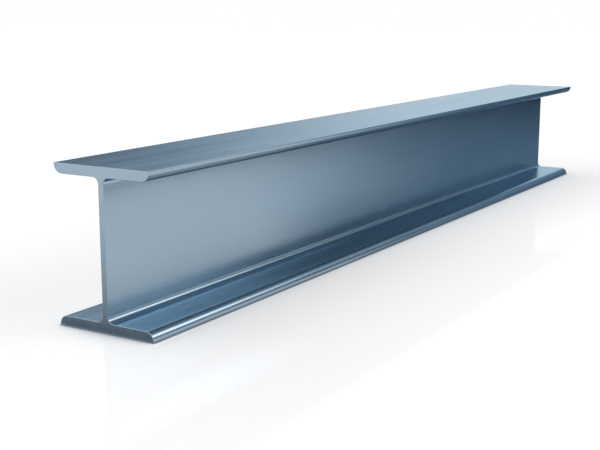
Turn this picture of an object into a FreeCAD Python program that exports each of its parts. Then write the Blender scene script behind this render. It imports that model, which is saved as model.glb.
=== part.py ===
# A hot-rolled steel H-beam, sawn to length: two parallel flanges joined by a web, all one bar.
#
# The bar lies along X. Its flanges are level, one above the other, and its web stands upright between them.
# The origin is the middle of the bottom face, with Y across the flanges and Z up. Lengths are in millimetres.

import FreeCAD, Part
import math
import os
import Sketcher
from collections import namedtuple
from FreeCAD import Vector

# The driving dimensions: each alias with its value and what it measures.
DIMENSIONS = [
    ("length", 3000, "from sawn end to sawn end"),
    ("depth", 400, "over the outer faces of the flanges"),
    ("flange_width", 290, "from tip to tip"),
    ("flange_thickness", 26, "even from the root fillet to the tip"),
    ("web_thickness", 16, "between the faces of the web"),
    ("root_radius", 16, "hollow fillet where web meets flange"),
    ("edge_radius", 1.5, "rounding of a flange tip on its outer side"),
    ("tip_flat", 1, "upright flat of a flange tip, between that rounding and the large one inside"),
    ("end_chamfer", 1, "bevel round each sawn end, where the burr is dressed off"),
]

# Lengths worked out from the driving dimensions, each as the share that it takes of every one it uses.
HALF_LENGTH = {"length": 0.5}
HALF_DEPTH = {"depth": 0.5}
HALF_WIDTH = {"flange_width": 0.5}
HALF_WEB = {"web_thickness": 0.5}
HALF_GAP = {"depth": 0.5, "flange_thickness": -1}

# The radius of each kind of corner. The toe takes all of a flange tip that the rest leaves it.
RADII = {
    "edge": {"edge_radius": 1},
    "toe": {"flange_thickness": 1, "edge_radius": -1, "tip_flat": -1},
    "root": {"root_radius": 1},
}

# A straight side of the section, upright or level. It begins with a corner of the kind given, and its
# distance from the middle of the section is to the right or up where the sign is 1, left or down where -1.
Side = namedtuple("Side", "name corner upright sign distance")

# The sides in order, anticlockwise from the lower right tip.
SIDES = [
    Side("lower_right_tip", "edge", True, 1, HALF_WIDTH),
    Side("lower_right_flange", "toe", False, -1, HALF_GAP),
    Side("right_web_face", "root", True, 1, HALF_WEB),
    Side("upper_right_flange", "root", False, 1, HALF_GAP),
    Side("upper_right_tip", "toe", True, 1, HALF_WIDTH),
    Side("top_face", "edge", False, 1, HALF_DEPTH),
    Side("upper_left_tip", "edge", True, -1, HALF_WIDTH),
    Side("upper_left_flange", "toe", False, 1, HALF_GAP),
    Side("left_web_face", "root", True, -1, HALF_WEB),
    Side("lower_left_flange", "root", False, -1, HALF_GAP),
    Side("lower_left_tip", "toe", True, -1, HALF_WIDTH),
    Side("bottom_face", "edge", False, -1, HALF_DEPTH),
]

# Sketcher's numbers for a sketch's own origin point, and for the two ends of a line or arc.
ORIGIN = (-1, 1)
START = 1
END = 2

# How near to the end of the bar a face's middle lies if it is one of the two sawn ends.
END_TOLERANCE = 0.001


def make_sheet(doc):
    """The spreadsheet of the driving dimensions."""
    sheet = doc.addObject("Spreadsheet::Sheet", "Sizes")
    for row, (alias, value, meaning) in enumerate(DIMENSIONS, start=1):
        sheet.set(f"A{row}", alias)
        sheet.set(f"B{row}", str(value))
        sheet.set(f"C{row}", meaning)
        sheet.setAlias(f"B{row}", alias)
    doc.recompute()
    return sheet


def measure(sheet, shares):
    """What a worked-out length comes to, in millimetres."""
    return sum(share * sheet.get(alias) for alias, share in shares.items())


def expression(shares):
    """The same length as an expression, which keeps what is bound to it in step with the sheet."""
    return " + ".join(f"{share} * Sizes.{alias}" for alias, share in shares.items())


def square_corners(sheet):
    """The point at which each side would begin if no corner were rounded."""
    points = []
    for before, side in zip(SIDES[-1:] + SIDES[:-1], SIDES):
        upright, level = (side, before) if side.upright else (before, side)
        across = upright.sign * measure(sheet, upright.distance)
        height = level.sign * measure(sheet, level.distance)
        points.append(Vector(across, height, 0))
    return points


def corner_arc(point, arriving, leaving, radius):
    """The arc that rounds a square corner, which always runs anticlockwise, and whether the corner bulges."""
    bulges = arriving.cross(leaving).z > 0
    centre = point - arriving * radius + leaving * radius
    first = -leaving if bulges else arriving
    angle = math.atan2(first.y, first.x)
    circle = Part.Circle(centre, Vector(0, 0, 1), radius)
    return Part.ArcOfCircle(circle, angle, angle + math.pi / 2), bulges


def add_dimension(sketch, name, constraint, shares):
    """Adds a named dimension to the sketch and binds it to the sheet."""
    index = sketch.addConstraint(constraint)
    sketch.renameConstraint(index, name)
    sketch.setExpression(f"Constraints.{name}", expression(shares))


def place_side(sketch, sheet, line, side):
    """Holds one side of the outline upright or level, at its distance from the middle."""
    direction, axis = ("Vertical", "X") if side.upright else ("Horizontal", "Y")
    sketch.addConstraint(Sketcher.Constraint(direction, line))
    points = (*ORIGIN, line, START) if side.sign > 0 else (line, START, *ORIGIN)
    dimension = Sketcher.Constraint(f"Distance{axis}", *points, measure(sheet, side.distance))
    add_dimension(sketch, side.name, dimension, side.distance)


def draw_section(body, sheet):
    """The sketch of the section, centred on the body's origin, with every size bound to the sheet."""
    sketch = body.newObject("Sketcher::SketchObject", "Section")
    plane = next(f for f in body.Origin.OriginFeatures if f.Role == "YZ_Plane")
    sketch.AttachmentSupport = [(plane, "")]
    sketch.MapMode = "FlatFace"

    starts = square_corners(sheet)
    ends = starts[1:] + starts[:1]
    headings = [(end - start).normalize() for start, end in zip(starts, ends)]
    radii = [measure(sheet, RADII[side.corner]) for side in SIDES]
    end_radii = radii[1:] + radii[:1]

    lines = []
    for start, end, heading, radius, end_radius in zip(starts, ends, headings, radii, end_radii):
        segment = Part.LineSegment(start + heading * radius, end - heading * end_radius)
        lines.append(sketch.addGeometry(segment, False))

    first_arcs = {}
    for i, side in enumerate(SIDES):
        shape, bulges = corner_arc(starts[i], headings[i - 1], headings[i], radii[i])
        arc = sketch.addGeometry(shape, False)
        near_end, far_end = (START, END) if bulges else (END, START)
        sketch.addConstraint(Sketcher.Constraint("Tangent", lines[i - 1], END, arc, near_end))
        sketch.addConstraint(Sketcher.Constraint("Tangent", arc, far_end, lines[i], START))
        if side.corner in first_arcs:
            sketch.addConstraint(Sketcher.Constraint("Equal", first_arcs[side.corner], arc))
        else:
            first_arcs[side.corner] = arc

    for line, side in zip(lines, SIDES):
        place_side(sketch, sheet, line, side)
    for corner, arc in first_arcs.items():
        radius = Sketcher.Constraint("Radius", arc, measure(sheet, RADII[corner]))
        add_dimension(sketch, f"{corner}_radius", radius, RADII[corner])
    return sketch


def make_beam(doc, sheet):
    """The bar: its section carried along the whole length, with both sawn ends dressed."""
    body = doc.addObject("PartDesign::Body", "Beam")
    body.Label = "h_beam"
    body.setExpression("Placement.Base.z", expression(HALF_DEPTH))

    bar = body.newObject("PartDesign::Pad", "Bar")
    bar.Profile = draw_section(body, sheet)
    bar.SideType = "Symmetric"
    bar.setExpression("Length", "Sizes.length")
    doc.recompute()

    reach = measure(sheet, HALF_LENGTH) - END_TOLERANCE
    sawn_ends = [
        f"Face{number}"
        for number, face in enumerate(bar.Shape.Faces, start=1)
        if abs(face.CenterOfMass.x) > reach
    ]
    dressing = body.newObject("PartDesign::Chamfer", "DressedEnds")
    dressing.Base = (bar, sawn_ends)
    dressing.setExpression("Size", "Sizes.end_chamfer")
    body.Tip = dressing
    return body


def check(doc, bodies):
    """Stops the build if any object failed, or if a body isn't one valid solid."""
    for item in doc.Objects:
        if "Invalid" in item.State or "Error" in item.State:
            raise RuntimeError(f"{item.Name} failed: {item.State}")
    for body in bodies:
        if body.Shape.isNull() or not body.Shape.isValid() or len(body.Shape.Solids) != 1:
            raise RuntimeError(f"{body.Label} isn't one valid solid")


def export(bodies):
    """Writes each body to a file of its own, named by its label."""
    os.makedirs("parts", exist_ok=True)
    for body in bodies:
        body.Shape.exportStep(f"parts/{body.Label}.step")


def main():
    doc = FreeCAD.newDocument("HBeam")
    bodies = [make_beam(doc, make_sheet(doc))]
    doc.recompute()
    check(doc, bodies)
    export(bodies)
    for body in bodies:
        print(body.Label, body.Shape.BoundBox, f"{body.Shape.Volume:.1f} mm3")


main()
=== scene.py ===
"""A hot-rolled steel H-beam on a white studio floor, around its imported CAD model. Lengths are in metres."""

import math

import bpy
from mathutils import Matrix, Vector


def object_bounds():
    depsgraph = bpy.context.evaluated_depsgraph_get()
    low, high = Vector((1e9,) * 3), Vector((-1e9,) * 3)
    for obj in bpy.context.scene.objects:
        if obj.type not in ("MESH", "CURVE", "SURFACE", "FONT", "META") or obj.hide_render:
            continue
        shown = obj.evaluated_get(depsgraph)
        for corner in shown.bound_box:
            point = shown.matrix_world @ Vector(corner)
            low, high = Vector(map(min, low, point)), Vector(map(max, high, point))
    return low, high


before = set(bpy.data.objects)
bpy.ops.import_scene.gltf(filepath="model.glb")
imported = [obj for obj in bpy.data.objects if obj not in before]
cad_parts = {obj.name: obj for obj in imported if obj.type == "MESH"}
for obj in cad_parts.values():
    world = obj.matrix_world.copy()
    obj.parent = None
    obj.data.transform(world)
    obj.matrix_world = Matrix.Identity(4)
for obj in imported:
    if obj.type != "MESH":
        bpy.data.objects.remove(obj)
cad_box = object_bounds()

# The corners of the beam's box, which is centred on X and Y and stands on its lowest level.
LOW, HIGH = cad_box
HALF_LENGTH = (HIGH.x - LOW.x) / 2
HALF_WIDTH = (HIGH.y - LOW.y) / 2
DEPTH = HIGH.z - LOW.z

# The camera, set by the point of the beam that it looks at, as shares of the beam's box, and by where it
# stands from there. A heading is measured from +X towards +Y, and a pitch downwards.
CAMERA_AIM = (0.2936, 0.5, 0.2765)
CAMERA_HEADING = math.radians(31.50)
CAMERA_PITCH = math.radians(11.507)
CAMERA_DISTANCE = 3.275
CAMERA_LENS = 64.82
CAMERA_SENSOR = 36.0

WHITE = (1.0, 1.0, 1.0, 1.0)

NOISE_ROUGHNESS = 0.55


# ---------------------------------------------------------------- node helpers

def new_material(name):
    """An empty node material, and its tree."""
    material = bpy.data.materials.new(name)
    material.use_nodes = True
    material.node_tree.nodes.clear()
    return material, material.node_tree


def add_node(tree, kind, inputs=(), **settings):
    """A shader node with its settings, and its inputs either linked or set."""
    node = tree.nodes.new(kind)
    for name, value in settings.items():
        setattr(node, name, value)
    for name, value in dict(inputs).items():
        if isinstance(value, bpy.types.NodeSocket):
            tree.links.new(value, node.inputs[name])
        else:
            node.inputs[name].default_value = value
    return node


def add_math(tree, operation, first, second=0.0):
    """The result of a Math node."""
    return add_node(tree, "ShaderNodeMath", {0: first, 1: second}, operation=operation).outputs[0]


def add_product(tree, *factors):
    """All the factors, multiplied."""
    total = factors[0]
    for factor in factors[1:]:
        total = add_math(tree, "MULTIPLY", total, factor)
    return total


def add_sum(tree, *terms):
    """All the terms, added."""
    total = terms[0]
    for term in terms[1:]:
        total = add_math(tree, "ADD", total, term)
    return total


def add_ramp(tree, value, low, high, out_low=0.0, out_high=1.0):
    """Maps value from low..high to out_low..out_high, smoothly and without leaving that range."""
    inputs = {"Value": value, "From Min": low, "From Max": high, "To Min": out_low, "To Max": out_high}
    node = add_node(tree, "ShaderNodeMapRange", inputs, interpolation_type="SMOOTHSTEP")
    return node.outputs["Result"]


def add_colour_mix(tree, factor, first, second, blend="MIX"):
    """Mixes colours, the second over the first by factor."""
    node = tree.nodes.new("ShaderNodeMix")
    node.data_type = "RGBA"
    node.blend_type = blend
    for index, value in ((0, factor), (6, first), (7, second)):
        if isinstance(value, bpy.types.NodeSocket):
            tree.links.new(value, node.inputs[index])
        else:
            node.inputs[index].default_value = value
    return node.outputs[2]


def add_noise(tree, coordinates, stretch, scale, detail):
    """Noise from -1 to 1 at about scale cells a metre, drawn out by stretch along X, Y and Z."""
    squeeze = tuple(scale / s for s in stretch)
    mapped = add_node(tree, "ShaderNodeMapping", {"Vector": coordinates, "Scale": squeeze})
    inputs = {"Vector": mapped.outputs[0], "Scale": 1.0, "Detail": detail, "Roughness": NOISE_ROUGHNESS}
    noise = add_node(tree, "ShaderNodeTexNoise", inputs)
    return add_math(tree, "MULTIPLY", add_math(tree, "SUBTRACT", noise.outputs["Fac"], 0.5), 2.0)


def is_seen_by(tree, *rays):
    """1 for the kinds of ray named, 0 for all others."""
    path = tree.nodes.new("ShaderNodeLightPath")
    total = 0.0
    for ray in rays:
        total = add_math(tree, "ADD", path.outputs[ray], total)
    return add_math(tree, "MINIMUM", total, 1.0)


# ---------------------------------------------------------------- the steel

STEEL_COLOUR = (0.34, 0.443, 0.53, 1.0)
STEEL_EDGE_TINT = (0.62, 0.78, 0.89, 1.0)
STEEL_METALLIC = 0.95
STEEL_ROUGHNESS = 0.23
WORN_COLOUR = (0.56, 0.62, 0.68, 1.0)
WORN_SHARE = 0.2

# How wide the worn line is along the outer edges of the flanges.
WORN_EDGE = 0.0018

# The marks, each drawn out along X, Y and Z, with its cells a metre and its octaves of detail.
GRAIN = {"stretch": (60.0, 1.0, 1.0), "scale": 260.0, "detail": 3.0}
STREAKS = {"stretch": (25.0, 1.0, 1.0), "scale": 22.0, "detail": 3.0}
CLOUDS = {"stretch": (3.0, 1.0, 1.0), "scale": 6.0, "detail": 5.0}
SAW_LINES = {"stretch": (1.0, 40.0, 1.0), "scale": 420.0, "detail": 3.0}
WORN_PATCHES = {"stretch": (2.0, 1.0, 1.0), "scale": 40.0, "detail": 4.0}

# Where the noise of the worn patches starts to show wear, and where it shows all of it.
WORN_PATCHES_FROM = (-0.5, 0.3)

# The part of a face's normal that points along an axis, where the face starts to count as turned that way
# and where it fully does. A bevel, at 45 degrees, counts as turned to the end without being sawn.
TURNED = (0.9, 0.99)
TURNED_AS_BEVEL = (0.2, 0.6)

# How much the colour and roughness vary with each kind of mark.
GRAIN_SHADE = 0.035
STREAK_SHADE = 0.08
CLOUD_SHADE = 0.09
SAW_SHADE = 0.08
STREAK_GLOSS = 0.06
CLOUD_GLOSS = 0.06
SAW_GLOSS = 0.03

# The relief of the grain and the saw marks.
RELIEF_STRENGTH = 0.05
RELIEF_DEPTH = 0.0005


def make_steel():
    """Clean rolled steel: faint grain along the bar, slight mottling, sawn ends and lightly worn edges."""
    material, tree = new_material("rolled_steel_finish")
    place = add_node(tree, "ShaderNodeTexCoord")
    position = place.outputs["Object"]
    facing = add_node(tree, "ShaderNodeSeparateXYZ", {0: place.outputs["Normal"]}).outputs
    facing_end = add_math(tree, "ABSOLUTE", facing[0])
    facing_level = add_math(tree, "ABSOLUTE", facing[2])
    height = add_node(tree, "ShaderNodeSeparateXYZ", {0: position}).outputs[2]

    sawn = add_ramp(tree, facing_end, *TURNED)
    rolled = add_math(tree, "SUBTRACT", 1.0, sawn)
    grain = add_product(tree, add_noise(tree, position, **GRAIN), rolled)
    saw_lines = add_product(tree, add_noise(tree, position, **SAW_LINES), sawn)
    streaks = add_noise(tree, position, **STREAKS)
    clouds = add_noise(tree, position, **CLOUDS)

    shade = add_sum(
        tree,
        1.0,
        add_product(tree, grain, GRAIN_SHADE),
        add_product(tree, streaks, rolled, STREAK_SHADE),
        add_product(tree, clouds, CLOUD_SHADE),
        add_product(tree, saw_lines, SAW_SHADE),
    )
    tint = add_node(tree, "ShaderNodeCombineColor", {0: shade, 1: shade, 2: shade})
    colour = add_colour_mix(tree, 1.0, STEEL_COLOUR, tint.outputs[0], blend="MULTIPLY")

    from_outside = add_math(tree, "MINIMUM", height, add_math(tree, "SUBTRACT", DEPTH, height))
    outer_edge = add_product(
        tree,
        add_ramp(tree, from_outside, WORN_EDGE / 2, WORN_EDGE, 1.0, 0.0),
        add_ramp(tree, facing_level, *TURNED, 1.0, 0.0),
        rolled,
    )
    bevel = add_product(tree, add_ramp(tree, facing_end, *TURNED_AS_BEVEL), rolled)
    patchy = add_ramp(tree, add_noise(tree, position, **WORN_PATCHES), *WORN_PATCHES_FROM)
    worn = add_product(tree, add_math(tree, "MAXIMUM", outer_edge, bevel), patchy, WORN_SHARE)
    colour = add_colour_mix(tree, worn, colour, WORN_COLOUR)

    roughness = add_sum(
        tree,
        STEEL_ROUGHNESS,
        add_product(tree, streaks, STREAK_GLOSS),
        add_product(tree, clouds, CLOUD_GLOSS),
        add_product(tree, sawn, SAW_GLOSS),
    )

    relief = add_sum(tree, grain, saw_lines)
    settings = {"Height": relief, "Strength": RELIEF_STRENGTH, "Distance": RELIEF_DEPTH}
    bump = add_node(tree, "ShaderNodeBump", settings)
    inputs = {
        "Base Color": colour,
        "Metallic": STEEL_METALLIC,
        "Specular Tint": STEEL_EDGE_TINT,
        "Roughness": roughness,
        "Normal": bump.outputs[0],
    }
    shader = add_node(tree, "ShaderNodeBsdfPrincipled", inputs)
    add_node(tree, "ShaderNodeOutputMaterial", {"Surface": shader.outputs[0]})
    return material


# ---------------------------------------------------------------- the studio

FLOOR_SIZE = 60.0
FLOOR_COLOUR = (0.95, 0.95, 0.96, 1.0)

# The share of the floor that the lamps light, so that it holds their shadows. The rest glows, a little over 1
# to make up for that share.
FLOOR_SHADOW_SHARE = 0.33
FLOOR_GLOW = 1.07

# The soft shade painted round the beam into the floor's glow, from how crowded each spot is: its colour, how
# far from the beam it reaches, and how open a spot is where the shade is full and where it ends.
PAINTED_FLOOR_SHADE_COLOUR = (0.03, 0.05, 0.10, 1.0)
SHADE_REACH = 0.10
SHADE_OPENNESS = (0.40, 1.0)
SHADE_SAMPLES = 8

# The painted contact shadow, a dark line where the beam meets the floor: its width, and the light that is
# left at the beam's foot.
PAINTED_CONTACT_SHADOW_REACH = 0.007
CONTACT_LIGHT = 0.05

# The floor's mirror reflection, which fades out with distance from the beam.
POLISH_REACH = 1.2
POLISH_SHARE = 0.14
POLISH_ROUGHNESS = 0.06

# A painted shade on the floor beyond the beam's ends, which only mirror reflections show, so that the ends
# mirror it dark, darkest where it meets them. It spreads out from the end's corners by a slant, measured from
# a little inside the beam's sides to keep it finite.
END_SHADE_REACH = 1.9
END_SHADE_SHARE = 1.15
END_SHADE_SPREAD = 0.6
END_SHADE_INSET = 0.02
PAINTED_MIRRORED_SHADE_COLOUR = (0.02, 0.04, 0.06, 1.0)

FILL_COLOUR = (0.93, 0.95, 1.0, 1.0)
FILL_STRENGTH = 0.28

# Dark cards paint dark reflections on the steel: they glow in their own dark colours, and only mirror
# reflections show them. Each is swept round a centre between sides at four headings: it fades in from the
# first to the second, and out from the third to the last. Its colours are the one close to the centre, the
# one further out, and the one it has once raised.
# It darkens from close to further out between the two distances given, turns between two others, and
# thins out between two heights to the share given with them. A density under 1 lets some light through.

# The wing lies on the floor in front of the beam and rises at its far edge.
WING_CENTRE = (-0.75, -0.02)
WING_PROFILE = [(0.01, 0.002), (8.0, 0.002), (8.0, 12.0)]
WING_SIDES = [math.radians(a) for a in (-42, -4, 8, 18)]
WING_TURN = math.radians(10)
WING_TURNS = (1.4, 3.2)
WING_COLOURS = [(0.17, 0.24, 0.31, 1.0), (0.02, 0.045, 0.07, 1.0), (0.20, 0.28, 0.35, 1.0)]
WING_DARKENS = (2.5, 6.5)
WING_THINS = [(1.7, 2.8, 0.86), (8.0, 12.0, 0.0)]

# The corner is a low wall behind the beam, swept round the place of the main camera.
CORNER_PROFILE = [(8.0, 0.0), (8.0, 2.2)]
CORNER_SIDES = [math.radians(a) for a in (23, 44, 62, 82)]
CORNER_COLOURS = [(0.01, 0.04, 0.08, 1.0)] * 3
CORNER_THINS = [(1.35, 2.0, 0.0)]

# The band hangs in front of the near end, and dims what the flange's top mirrors by way of the web.
BAND_PROFILE = [(7.0, 0.8), (7.0, 2.8)]
BAND_SIDES = [math.radians(a) for a in (-62, -50, -24, -12)]
BAND_COLOURS = [(0.03, 0.05, 0.07, 1.0)] * 3
BAND_THINS = [(1.9, 2.8, 0.0)]
BAND_DENSITY = 0.86

# Veils are thin level dark cloths in front of the beam, which glow in their dark colour and paint dark
# reflections on the steel. Only mirror reflections show them. With its distance in front of the beam's
# middle, a veil fades in over its starts and out over its ends.
VEIL_COLOUR = (0.02, 0.04, 0.06, 1.0)

# The apron lies just off the floor and dims the web's upper part.
APRON_LENGTH = 30.0
APRON_HEIGHT = 0.004
APRON_STARTS = (1.0, 1.5)
APRON_ENDS = (2.2, 3.0)
APRON_COVER = 0.36

# The shelf hangs close in front of the upper flange and dims the rounding of its tip, which looks down on it.
# It reaches little past the beam's ends, where the floor would mirror it.
SHELF_LENGTH = 2 * (HALF_LENGTH + 0.15)
SHELF_HEIGHT = 0.3
SHELF_STARTS = (0.146, 0.152)
SHELF_ENDS = (0.2, 0.28)
SHELF_COVER = 0.52

# The height by which a card has the last of its colours.
RAISED_FROM = 0.6

ARC_STEPS = 32

# The softbox shines on the near end from the right, and draws the bright lines along its fillet and toe.
SOFTBOX_HEADING = math.radians(-36)
SOFTBOX_PITCH = math.radians(27)
SOFTBOX_DISTANCE = 8.0
SOFTBOX_SIZE = (2.3, 2.2)
SOFTBOX_RADIANCE = 2.0

# The sky is a very wide sun from above and behind, which mirror reflections don't show.
SUN_FROM = (-0.5, 3.3, 8.0)
SUN_STRENGTH = 2.55
SUN_WIDTH = math.radians(60)


def add_white_where_seen(tree, seen, otherwise):
    """Ends the tree: the first shader for eyes, mirrors and glass, the second for light that bounces."""
    visible = is_seen_by(tree, "Is Camera Ray", "Is Glossy Ray", "Is Transmission Ray")
    choice = add_node(tree, "ShaderNodeMixShader", {0: visible, 1: otherwise, 2: seen})
    add_node(tree, "ShaderNodeOutputMaterial", {"Surface": choice.outputs[0]})


def add_beyond(tree, coordinate, half):
    """How far a coordinate lies beyond the beam's side, or 0 if it doesn't."""
    beyond = add_math(tree, "SUBTRACT", add_math(tree, "ABSOLUTE", coordinate), half)
    return add_math(tree, "MAXIMUM", beyond, 0.0)


def make_floor_material():
    """White paper sweep: pure white where nothing shades it, with a soft shadow, partly cast by the lamps and
    partly painted, a painted dark shade beyond the ends that only mirrors show, and a faint reflection.
    """
    material, tree = new_material("studio_floor")
    place = add_node(tree, "ShaderNodeTexCoord").outputs["Object"]
    xyz = add_node(tree, "ShaderNodeSeparateXYZ", {0: place}).outputs
    beyond_end = add_beyond(tree, xyz[0], HALF_LENGTH)
    beyond_side = add_beyond(tree, xyz[1], HALF_WIDTH)
    end_square = add_product(tree, beyond_end, beyond_end)
    side_square = add_product(tree, beyond_side, beyond_side)
    distance = add_math(tree, "SQRT", add_sum(tree, end_square, side_square))

    reached = add_math(tree, "MINIMUM", add_product(tree, distance, 1 / END_SHADE_REACH), 1.0)
    fading = add_math(tree, "SQRT", reached)
    slant = add_math(tree, "DIVIDE", beyond_end, add_sum(tree, beyond_side, END_SHADE_INSET))
    end_shade = add_product(
        tree,
        add_math(tree, "SUBTRACT", 1.0, fading),
        add_ramp(tree, slant, 0.0, END_SHADE_SPREAD),
        END_SHADE_SHARE,
    )
    # The painted shade beyond the ends shows only to mirror reflections.
    cover = add_product(tree, add_math(tree, "MINIMUM", end_shade, 1.0), is_seen_by(tree, "Is Glossy Ray"))

    # Painted shade in the floor's glow: darker where the beam crowds the floor, with a painted contact shadow
    # at its foot.
    crowding = add_node(tree, "ShaderNodeAmbientOcclusion", {"Distance": SHADE_REACH}, samples=SHADE_SAMPLES)
    openness = add_product(
        tree,
        add_ramp(tree, crowding.outputs["AO"], *SHADE_OPENNESS),
        add_ramp(tree, distance, 0.0, PAINTED_CONTACT_SHADOW_REACH, CONTACT_LIGHT, 1.0),
    )
    # The floor's white, with the painted shade and painted contact shadow mixed in.
    white = add_colour_mix(tree, openness, PAINTED_FLOOR_SHADE_COLOUR, WHITE)
    colour = add_colour_mix(tree, cover, white, PAINTED_MIRRORED_SHADE_COLOUR)
    glow = add_node(tree, "ShaderNodeEmission", {"Color": colour, "Strength": FLOOR_GLOW})
    paper = add_node(tree, "ShaderNodeBsdfDiffuse", {"Color": FLOOR_COLOUR})
    shadow = add_math(tree, "SUBTRACT", FLOOR_SHADOW_SHARE, add_product(tree, cover, FLOOR_SHADOW_SHARE))
    shaded = add_node(tree, "ShaderNodeMixShader", {0: shadow, 1: glow.outputs[0], 2: paper.outputs[0]})

    polish = add_node(tree, "ShaderNodeBsdfGlossy", {"Color": WHITE, "Roughness": POLISH_ROUGHNESS})
    share = add_ramp(tree, distance, 0.0, POLISH_REACH, POLISH_SHARE, 0.0)
    seen = add_node(tree, "ShaderNodeMixShader", {0: share, 1: shaded.outputs[0], 2: polish.outputs[0]})
    add_white_where_seen(tree, seen.outputs[0], paper.outputs[0])
    return material


def add_staged(name, points, faces, material, centre=(0, 0, 0)):
    """A mesh that belongs to the studio and not to the beam."""
    mesh = bpy.data.meshes.new(name)
    mesh.from_pydata(points, [], faces)
    mesh.materials.append(material)
    thing = bpy.data.objects.new(name, mesh)
    bpy.context.scene.collection.objects.link(thing)
    thing.location = centre
    return thing


def add_floor():
    """The floor, a large level square."""
    h = FLOOR_SIZE / 2
    points = [(-h, -h, 0), (h, -h, 0), (h, h, 0), (-h, h, 0)]
    add_staged("floor", points, [(0, 1, 2, 3)], make_floor_material(), (0, 0, LOW.z))


def add_cloth(tree, colour, cover):
    """Ends the tree with cloth that hides what is behind it by cover, and glows in its own colour: a painted
    reflection where mirrors show it.
    """
    cloth = add_node(tree, "ShaderNodeEmission", {"Color": colour, "Strength": 1.0})
    clear = add_node(tree, "ShaderNodeBsdfTransparent")
    shader = add_node(tree, "ShaderNodeMixShader", {0: cover, 1: clear.outputs[0], 2: cloth.outputs[0]})
    add_node(tree, "ShaderNodeOutputMaterial", {"Surface": shader.outputs[0]})


def show_only_in_mirrors(thing):
    """Hides a thing from everything but mirror reflections."""
    thing.visible_camera = False
    thing.visible_diffuse = False
    thing.visible_transmission = False
    thing.visible_shadow = False


def add_veil(name, length, height, starts, ends, cover):
    """A level veil, centred on the middle of the beam's length."""
    material, tree = new_material(name)
    place = add_node(tree, "ShaderNodeTexCoord").outputs["Object"]
    across = add_node(tree, "ShaderNodeSeparateXYZ", {0: place}).outputs[1]
    away = add_math(tree, "MULTIPLY", across, -1.0)
    fading_in = add_ramp(tree, away, *starts, 0.0, cover)
    add_cloth(tree, VEIL_COLOUR, add_product(tree, fading_in, add_ramp(tree, away, *ends, 1.0, 0.0)))
    half, near, far = length / 2, -starts[0], -ends[1]
    points = [(-half, far, 0), (half, far, 0), (half, near, 0), (-half, near, 0)]
    show_only_in_mirrors(add_staged(name, points, [(0, 1, 2, 3)], material, (0, 0, LOW.z + height)))


def make_card_material(name, sides, colours, thins, darkens, turn, turns, density):
    """Dark glowing cloth, which paints dark reflections on the steel, and is clear outside its sides."""
    material, tree = new_material(name)
    place = add_node(tree, "ShaderNodeTexCoord").outputs["Object"]
    xyz = add_node(tree, "ShaderNodeSeparateXYZ", {0: place}).outputs
    level = add_node(tree, "ShaderNodeCombineXYZ", {0: xyz[0], 1: xyz[1]}).outputs[0]
    reach = add_node(tree, "ShaderNodeVectorMath", {0: level}, operation="LENGTH").outputs["Value"]
    heading = add_math(tree, "ARCTAN2", xyz[1], xyz[0])
    heading = add_sum(tree, heading, add_ramp(tree, reach, *turns, 0.0, turn))
    fading_in = add_ramp(tree, heading, sides[0], sides[1])
    fading_out = add_ramp(tree, heading, sides[2], sides[3], 1.0, 0.0)
    cover = add_product(tree, fading_in, fading_out, density)
    before = 1.0
    for start, end, share in thins:
        cover = add_product(tree, cover, add_ramp(tree, xyz[2], start, end, 1.0, share / before))
        before = share
    close, far, raised = colours
    colour = add_colour_mix(tree, add_ramp(tree, reach, *darkens), close, far)
    colour = add_colour_mix(tree, add_ramp(tree, xyz[2], 0.0, RAISED_FROM), colour, raised)
    add_cloth(tree, colour, cover)
    return material


def add_card(name, centre, profile, sides, colours, thins,
             darkens=(0.0, 1.0), turn=0.0, turns=(0.0, 1.0), density=1.0):
    """A dark card swept round its centre: the profile's points are (distance from the centre, height)."""
    points = []
    start = sides[0] - turn
    for step in range(ARC_STEPS + 1):
        heading = start + (sides[3] - start) * step / ARC_STEPS
        points += [(r * math.cos(heading), r * math.sin(heading), z) for r, z in profile]
    n = len(profile)
    faces = [
        (step * n + k, step * n + k + 1, step * n + n + k + 1, step * n + n + k)
        for step in range(ARC_STEPS)
        for k in range(n - 1)
    ]
    material = make_card_material(name, sides, colours, thins, darkens, turn, turns, density)
    show_only_in_mirrors(add_staged(name, points, faces, material, (centre[0], centre[1], LOW.z)))


def make_world():
    """White all round where it shows, and a softer fill for the rest."""
    world = bpy.data.worlds.new("studio")
    bpy.context.scene.world = world
    world.use_nodes = True
    tree = world.node_tree
    tree.nodes.clear()
    visible = is_seen_by(tree, "Is Camera Ray", "Is Glossy Ray", "Is Transmission Ray")
    white = add_node(tree, "ShaderNodeBackground", {"Color": WHITE, "Strength": 1.0})
    fill = add_node(tree, "ShaderNodeBackground", {"Color": FILL_COLOUR, "Strength": FILL_STRENGTH})
    choice = add_node(tree, "ShaderNodeMixShader", {0: visible, 1: fill.outputs[0], 2: white.outputs[0]})
    add_node(tree, "ShaderNodeOutputWorld", {"Surface": choice.outputs[0]})


def add_lamp(name, kind, place, target, **settings):
    """A lamp at place, turned to target."""
    lamp = bpy.data.lights.new(name, kind)
    for setting, value in settings.items():
        setattr(lamp, setting, value)
    thing = bpy.data.objects.new(name, lamp)
    bpy.context.scene.collection.objects.link(thing)
    thing.location = place
    thing.rotation_euler = (Vector(target) - Vector(place)).to_track_quat("-Z", "Y").to_euler()
    thing.visible_camera = False
    return thing


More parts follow.
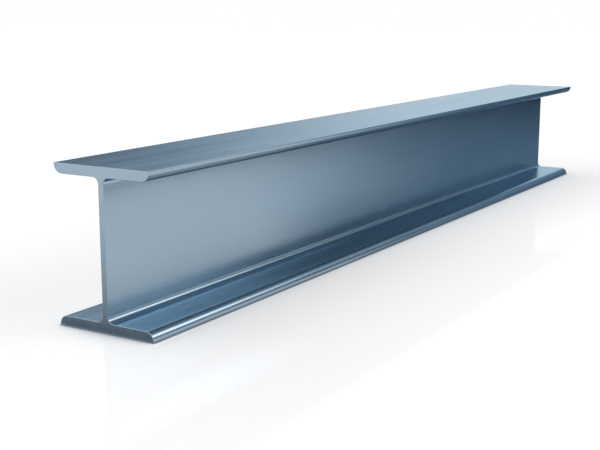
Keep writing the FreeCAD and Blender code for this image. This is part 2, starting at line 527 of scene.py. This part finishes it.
def direction(heading, pitch):
    """The way that a heading and a pitch upwards point."""
    level = math.cos(pitch)
    return Vector((level * math.cos(heading), level * math.sin(heading), math.sin(pitch)))


def add_softbox():
    """A large soft lamp, set by where the middle of the near end sees it."""
    target = Vector((LOW.x, 0.0, LOW.z))
    place = target + direction(SOFTBOX_HEADING, SOFTBOX_PITCH) * SOFTBOX_DISTANCE
    width, height = SOFTBOX_SIZE
    power = SOFTBOX_RADIANCE * math.pi * width * height
    add_lamp("softbox", "AREA", place, target, energy=power, shape="RECTANGLE", size=width, size_y=height)


def make_camera():
    """The main camera, which sees the near end large at the left and the far end small at the right."""
    aim = Vector([a + (b - a) * share for a, b, share in zip(LOW, HIGH, CAMERA_AIM)])
    ahead = direction(CAMERA_HEADING, -CAMERA_PITCH)
    data = bpy.data.cameras.new("main")
    data.lens = CAMERA_LENS
    data.sensor_width = CAMERA_SENSOR
    camera = bpy.data.objects.new("main_camera", data)
    bpy.context.scene.collection.objects.link(camera)
    camera.location = aim - ahead * CAMERA_DISTANCE
    camera.rotation_euler = ahead.to_track_quat("-Z", "Y").to_euler()
    bpy.context.scene.camera = camera
    return camera


def main():
    bpy.context.scene.view_settings.view_transform = "Standard"
    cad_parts["h_beam"].material_slots[0].material = make_steel()
    camera = make_camera()
    make_world()
    add_floor()
    add_card("wing", WING_CENTRE, WING_PROFILE, WING_SIDES, WING_COLOURS, WING_THINS,
             darkens=WING_DARKENS, turn=WING_TURN, turns=WING_TURNS)
    add_veil("apron", APRON_LENGTH, APRON_HEIGHT, APRON_STARTS, APRON_ENDS, APRON_COVER)
    add_veil("shelf", SHELF_LENGTH, SHELF_HEIGHT, SHELF_STARTS, SHELF_ENDS, SHELF_COVER)
    add_card("corner", camera.location, CORNER_PROFILE, CORNER_SIDES, CORNER_COLOURS, CORNER_THINS)
    add_card("band", (LOW.x, 0.0), BAND_PROFILE, BAND_SIDES, BAND_COLOURS, BAND_THINS, density=BAND_DENSITY)
    sky = add_lamp("sky", "SUN", SUN_FROM, (0, 0, 0), energy=SUN_STRENGTH, angle=SUN_WIDTH)
    sky.visible_glossy = False
    add_softbox()


main()
